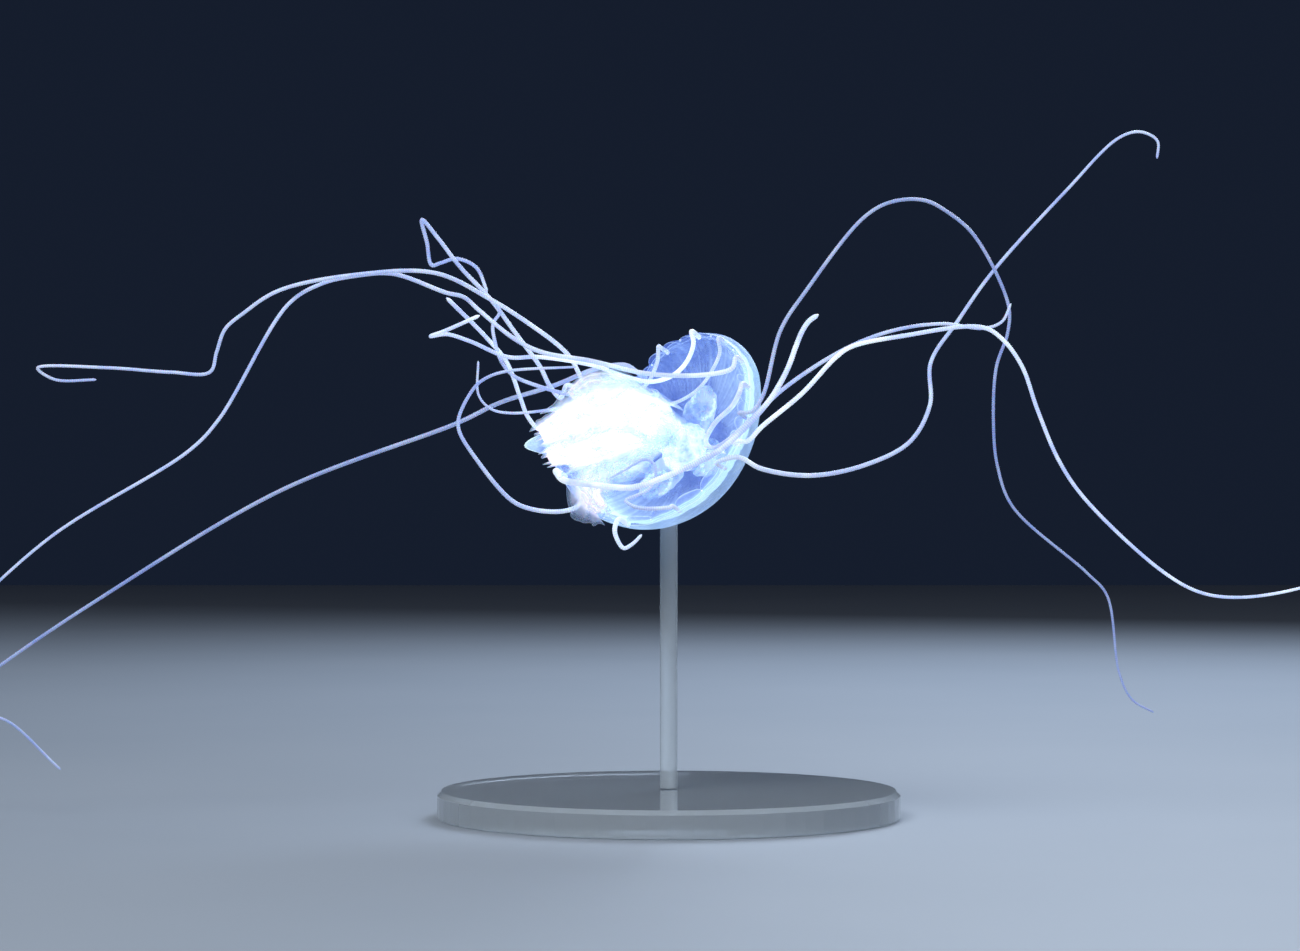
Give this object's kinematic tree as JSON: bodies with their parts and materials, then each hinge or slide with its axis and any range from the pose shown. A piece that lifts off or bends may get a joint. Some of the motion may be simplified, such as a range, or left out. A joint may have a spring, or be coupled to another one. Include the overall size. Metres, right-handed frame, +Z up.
{
  "type": "sea nettle jellyfish",
  "caption": "Life-size small sea nettle jellyfish with a domed bell, frilled oral arms and long trailing tentacles, on a disc stand with one rod.",
  "frame": {"origin": "centre of the flat underside of the stand's base", "axes": "+Z up, -Y towards the viewer of the picture, +X to that viewer's right, along the longest spread of the tentacles"},
  "size_m": [0.3159, 0.104, 0.1548],
  "materials": {
    "bell": "clear, faintly blue jelly, glossy",
    "arms": "milky white frilled tissue, moist",
    "pouches": "pale blue-white tissue, moist",
    "tentacles": "pale blue-white, finely ringed, moist",
    "stand": "clear polished acrylic"
  },
  "bodies": {
    "root": {"bell_crown": "bell", "bell_skirt_1": "bell", "bell_skirt_2": "bell", "bell_skirt_3": "bell", "bell_skirt_4": "bell", "manubrium": "arms", "gastric_pouch_1": "pouches", "gastric_pouch_2": "pouches", "gastric_pouch_3": "pouches", "gastric_pouch_4": "pouches", "oral_arm_1": "arms", "oral_arm_2": "arms", "oral_arm_3": "arms", "oral_arm_4": "arms", "tentacle_01_root": "tentacles", "tentacle_01_middle": "tentacles", "tentacle_01_tip": "tentacles", "tentacle_02_root": "tentacles", "tentacle_02_upper": "tentacles", "tentacle_02_lower": "tentacles", "tentacle_02_tip": "tentacles", "tentacle_03_root": "tentacles", "tentacle_03_upper": "tentacles", "tentacle_03_lower": "tentacles", "tentacle_03_tip": "tentacles", "tentacle_04_root": "tentacles", "tentacle_04_middle": "tentacles", "tentacle_04_tip": "tentacles", "tentacle_05_root": "tentacles", "tentacle_05_upper": "tentacles", "tentacle_05_lower": "tentacles", "tentacle_05_tip": "tentacles", "tentacle_06_root": "tentacles", "tentacle_06_tip": "tentacles", "tentacle_07_root": "tentacles", "tentacle_07_tip": "tentacles", "tentacle_08_root": "tentacles", "tentacle_08_tip": "tentacles", "tentacle_09_root": "tentacles", "tentacle_09_upper": "tentacles", "tentacle_09_lower": "tentacles", "tentacle_09_tip": "tentacles", "tentacle_10_root": "tentacles", "tentacle_10_upper": "tentacles", "tentacle_10_lower": "tentacles", "tentacle_10_tip": "tentacles", "tentacle_11_root": "tentacles", "tentacle_11_middle": "tentacles", "tentacle_11_tip": "tentacles", "tentacle_12_root": "tentacles", "tentacle_12_tip": "tentacles", "tentacle_13_root": "tentacles", "tentacle_13_tip": "tentacles", "tentacle_14_root": "tentacles", "tentacle_14_tip": "tentacles", "tentacle_15_whole": "tentacles", "tentacle_16_whole": "tentacles", "stand_base": "stand", "stand_rod": "stand"}
  },
  "joints": []
}
